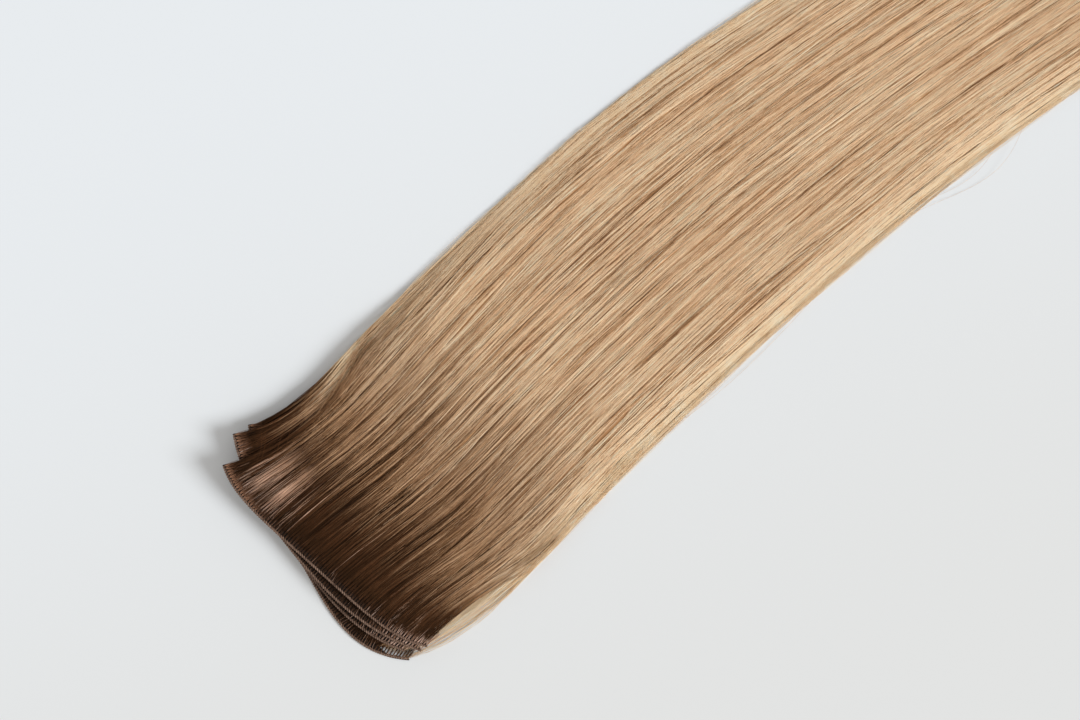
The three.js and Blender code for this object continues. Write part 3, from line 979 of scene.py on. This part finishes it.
    radii = STRAND_RADIUS * seed.uniform(*STRAND_RADIUS_RANGE, count)[:, None]
    rooted = ROOT_THICKNESS["least"] + (1 - ROOT_THICKNESS["least"]) * smooth(*ROOT_THICKNESS["along"], out)
    radii = radii * (1 - eased(TIP_TAPER, ahead)) * rooted
    radii = radii * (1 - FRAY_THIN * np.abs(edge)[:, None] * smooth(*FRAY_ALONG, out))
    if lower:
        radii = radii * (1 - eased(FAN_THIN, root_share)[:, None] * smooth(*FAN_THIN["along"], out))

    run = (out + start[:, None]) / HAIR_LENGTH
    streak = DARK_STREAK["by"] * bell(DARK_STREAK, share)[:, None]
    run = run + streak * smooth(*DARK_STREAK["along"], out)
    if lower:
        # The fanned right strands turn pale sooner: painted glow of light through the thin hair.
        fan_glow = FAN_PAINTED_GLOW["by"] + FAN_PAINTED_GLOW["near_root"] * smooth(*FAN_PAINTED_GLOW["along"], out)
        run = run + fanned[:, None] * fan_glow * (1 - run)
        # The left strip of the lower sheets takes the lighter root colour and fades sooner: painted light
        # where the top sheet's step shades it.
        run = run * (1 + eased(STEP_PAINTED_LIGHT, share)[:, None] * smooth(*STEP_PAINTED_LIGHT["along"], out))
        tanned = smooth(*STEP_PAINTED_TAN["along"], out) * smooth(*STEP_PAINTED_TAN["until"], out)
        run = run + eased(STEP_PAINTED_TAN, share)[:, None] * tanned
    run = run + eased(LEFT_SHADE, share)[:, None] * bell(LEFT_SHADE, out)
    # The right edge and right roots fade sooner: painted light, falling from the right and through the thin
    # edge hair.
    run = run + eased(RIGHT_PAINTED_GLOW, share)[:, None] * smooth(*RIGHT_PAINTED_GLOW["along"], out) * (1 - run)
    tanned = smooth(*RIGHT_PAINTED_TAN["along"], out) * smooth(*RIGHT_PAINTED_TAN["until"], out)
    run = run + eased(RIGHT_PAINTED_TAN, share)[:, None] * tanned
    if lower:
        # The left strip fades to blonde sooner: painted light.
        run = run + eased(STEP_PAINTED_PALE, share)[:, None] * smooth(*STEP_PAINTED_PALE["along"], out) * (1 - run)

    piece = strand_piece(name, np.stack([px, py, pz], -1), radii, run, tone)
    piece.data.materials.append(strand_finish)
    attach(piece, "root")
    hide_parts(f"hair_{length['number']}")


def evenly(seed, count):
    return (np.arange(count) + seed.uniform(0, 1, count)) / count


# Hair is full across the top sheet and thins out towards its two edges, most at the right.
fine_share = np.linspace(0, 1, FULLNESS_SAMPLES)
fullness = np.cumsum(np.interp(fine_share, FULLNESS_AT, FULLNESS))
for k in range(TOP_SETS):
    seed = np.random.default_rng(TOP_SEED + k)
    middles = np.interp(evenly(seed, TOP_BUNDLES), fullness / fullness[-1], fine_share)
    loose_strands(f"loose_hair_1_{k + 1}", LENGTHS[0], HANGS[0], middles, middles, seed, TOP_LOOK)

# The right-hand strands of the lower sheets come from roots tucked under the band and fan out.
for length, hang in zip(LENGTHS[1:], HANGS[1:]):
    seed = np.random.default_rng(LOWER_SEED + length["number"])
    middles = np.concatenate(
        [
            seed.uniform(*LOWER_LEFT["share"], LOWER_LEFT["count"]),
            seed.uniform(*LOWER_MIDDLE["share"], LOWER_MIDDLE["count"]),
            1 - LOWER_RIGHT["width"] * np.sqrt(1 - evenly(seed, LOWER_RIGHT["count"])),
            1 - seed.uniform(*LOWER_END["inside"], LOWER_END["count"]),
        ]
    )
    fan_roots = seed.permutation(evenly(seed, LOWER_RIGHT["count"]))
    roots = middles.copy()
    fan = slice(-LOWER_RIGHT["count"] - LOWER_END["count"], -LOWER_END["count"])
    roots[fan] = np.interp(fan_roots, (0, 1), LOWER_RIGHT["roots"])
    loose_strands(f"loose_hair_{length['number']}", length, hang, middles, roots, seed, LOWER_LOOK)


# Stray hairs
# A few single hairs have come away from the edges and arch over the table beside the weft. Some lie
# across the dark step at the left of the seams, and a small bunch of shorter hairs ends at the right.
STRAY_RADIUS = 0.045
STRAY_STEPS = 26
STRAY_INSIDE = 1.5
STRAY_LOW = 0.4
STRAY_HIGH = 3.0
STRAY_LIGHT = (0.35, 0.7)
STRAYS = [
    dict(start_x=282, end_x=366, out=-10.5, skew=1.7),
    dict(start_x=300, end_x=352, out=-6, skew=1.3),
    dict(start_x=148, end_x=262, out=-5, skew=0.8),
    dict(start_x=120, end_x=215, out=-3.5, skew=1.2),
    dict(start_x=60, end_x=140, out=-2.5, skew=1.0),
    dict(start_x=215, end_x=300, out=-3, skew=1.0),
    dict(start_x=90, end_x=170, out=2, skew=1.0),
    dict(start_x=190, end_x=300, out=2.5, skew=1.1),
    dict(start_x=330, end_x=430, out=3, skew=0.9),
    dict(start_x=370, end_x=470, out=-4, skew=1.0),
]
SHORT_RADIUS = 0.07
CROSSING_LIGHT = 0.95
CROSSING_LIFT = 0.2
CROSSING_ARCH = dict(x=-0.6, y=0.4)
CROSSING = [
    dict(start=(6.5, 52.5), end=(17.2, 60.9), bow=-1.4),
    dict(start=(8, 51.5), end=(18.5, 60), bow=-1.2),
    dict(start=(13.2, 47.5), end=(28.1, 56.2), bow=1),
    dict(start=(21, 49), end=(34, 56), bow=0.8),
]
SHORT_SEED = 300
SHORT_ENDS = 7
SHORT_FROM = dict(x=62, y=-60)
SHORT_TO = dict(x=113, y=-63.6)
SHORT_SCATTER = dict(x=5, y=0.6)
SHORT_HIGH = 0.95
SHORT_LIGHT = (0.55, 0.85)

along = np.linspace(0, 1, STRAY_STEPS)
arch = np.sin(np.pi * along)
stray_paths = []
for stray in STRAYS:
    edge = "left" if stray["out"] > 0 else "right"
    x = stray["start_x"] + (stray["end_x"] - stray["start_x"]) * along
    y = outline_at(edge, x) - math.copysign(STRAY_INSIDE, stray["out"])
    y = y + stray["out"] * np.sin(np.pi * along ** stray["skew"])
    stray_paths.append(np.stack([x, y, STRAY_LOW + STRAY_HIGH * (1 - arch)], -1))
for hair in CROSSING:
    (x0, y0), (x1, y1) = hair["start"], hair["end"]
    x = x0 + (x1 - x0) * along + hair["bow"] * CROSSING_ARCH["x"] * arch
    y = y0 + (y1 - y0) * along + hair["bow"] * CROSSING_ARCH["y"] * arch
    stray_paths.append(np.stack([x, y, layer_height(LENGTHS[0], x, y, 1.0) + CROSSING_LIFT], -1))
seed = np.random.default_rng(SHORT_SEED)
for _ in range(SHORT_ENDS):
    shift_x, shift_y = seed.normal(0, 1, 2) * (SHORT_SCATTER["x"], SHORT_SCATTER["y"])
    x = SHORT_FROM["x"] + (SHORT_TO["x"] + shift_x - SHORT_FROM["x"]) * along
    y = SHORT_FROM["y"] + (SHORT_TO["y"] + shift_y - SHORT_FROM["y"]) * along**2
    stray_paths.append(np.stack([x, y, layer_height(LENGTHS[0], x, y, SHORT_HIGH)], -1))
stray_paths = np.array(stray_paths)
stray_radii = np.full(stray_paths.shape[:2], SHORT_RADIUS)
stray_radii[: len(STRAYS)] = STRAY_RADIUS
stray_light = [
    np.linspace(*STRAY_LIGHT, len(STRAYS)),
    np.full(len(CROSSING), CROSSING_LIGHT),
    seed.uniform(*SHORT_LIGHT, SHORT_ENDS),
]
stray_run = np.clip(stray_paths[:, :, 0] / HAIR_LENGTH, 0, 1)
stray_tone = plain_tone(np.concatenate(stray_light))
strays = strand_piece("stray_hairs", stray_paths, stray_radii, stray_run, stray_tone)
strays.data.materials.append(strand_finish)
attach(strays, "root")
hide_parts("hair_5")


# Surface and light
# A plain pale table top of painted board, level under the weft, a little greyer towards the near side
# and lighter and bluer towards the far side: painted light from the far side.
# The light is broad and soft, from the right of the picture, with a weak even light all round.
TABLE_SIZE = 6
TABLE_MIDDLE = (0.13, 0, 0)
TABLE_PALE = [(0.15, (230, 231, 231)), (0.95, (236, 240, 244))]
TABLE_SHADE = dict(base=0.5, across=-0.7, along=1.9, mottle=0.1)
TABLE_MOTTLE_SCALE = 3
KEY_FROM = (0.56, -0.83)
KEY_ELEVATION = math.radians(33)
KEY_SOFTNESS = math.radians(26)
KEY_STRENGTH = 2.6
KEY_COLOUR = (0.94, 0.975, 1.0)
ROOM_COLOUR = (1.0, 0.97, 0.935, 1)
ROOM_STRENGTH = 0.54

bpy.ops.object.select_all(action="DESELECT")
bpy.ops.mesh.primitive_plane_add(size=TABLE_SIZE, location=TABLE_MIDDLE)
table = bpy.context.object
table.name = "table_top"
table_finish, tree, table_shader = new_material("pale_table", roughness=0.6, specular=0.2)
place = tree.nodes.new("ShaderNodeTexCoord")
turned = tree.nodes.new("ShaderNodeMapping")
turned.inputs["Rotation"].default_value = (0, 0, FLOW_TURN)
tree.links.new(place.outputs["Object"], turned.inputs["Vector"])
split = tree.nodes.new("ShaderNodeSeparateXYZ")
tree.links.new(turned.outputs[0], split.inputs[0])
mottle = tree.nodes.new("ShaderNodeTexNoise")
mottle.inputs["Scale"].default_value = TABLE_MOTTLE_SCALE
tree.links.new(place.outputs["Object"], mottle.inputs["Vector"])
# Painted light: lighter and bluer towards the far side, greyer towards the near side.
shade = maths(tree, "MULTIPLY_ADD", split.outputs["X"], TABLE_SHADE["across"], TABLE_SHADE["base"])
shade = maths(tree, "MULTIPLY_ADD", split.outputs["Y"], TABLE_SHADE["along"], shade)
shade = maths(tree, "MULTIPLY_ADD", mottle.outputs["Fac"], TABLE_SHADE["mottle"], shade)
tree.links.new(ramp(tree, shade, TABLE_PALE), table_shader.inputs["Base Color"])
table.data.materials.append(table_finish)

bpy.ops.object.light_add(
    type="SUN",
    location=(KEY_FROM[0], KEY_FROM[1], 1),
    rotation=(math.pi / 2 - KEY_ELEVATION, 0, math.atan2(KEY_FROM[1], KEY_FROM[0]) + math.pi / 2),
)
key = bpy.context.object
key.name = "window_light"
key.data.energy = KEY_STRENGTH
key.data.angle = KEY_SOFTNESS
key.data.color = KEY_COLOUR

world = bpy.data.worlds.new("room_light")
bpy.context.scene.world = world
world.use_nodes = True
world.node_tree.nodes["Background"].inputs["Color"].default_value = ROOM_COLOUR
world.node_tree.nodes["Background"].inputs["Strength"].default_value = ROOM_STRENGTH
bpy.context.scene.view_settings.view_transform = "Standard"
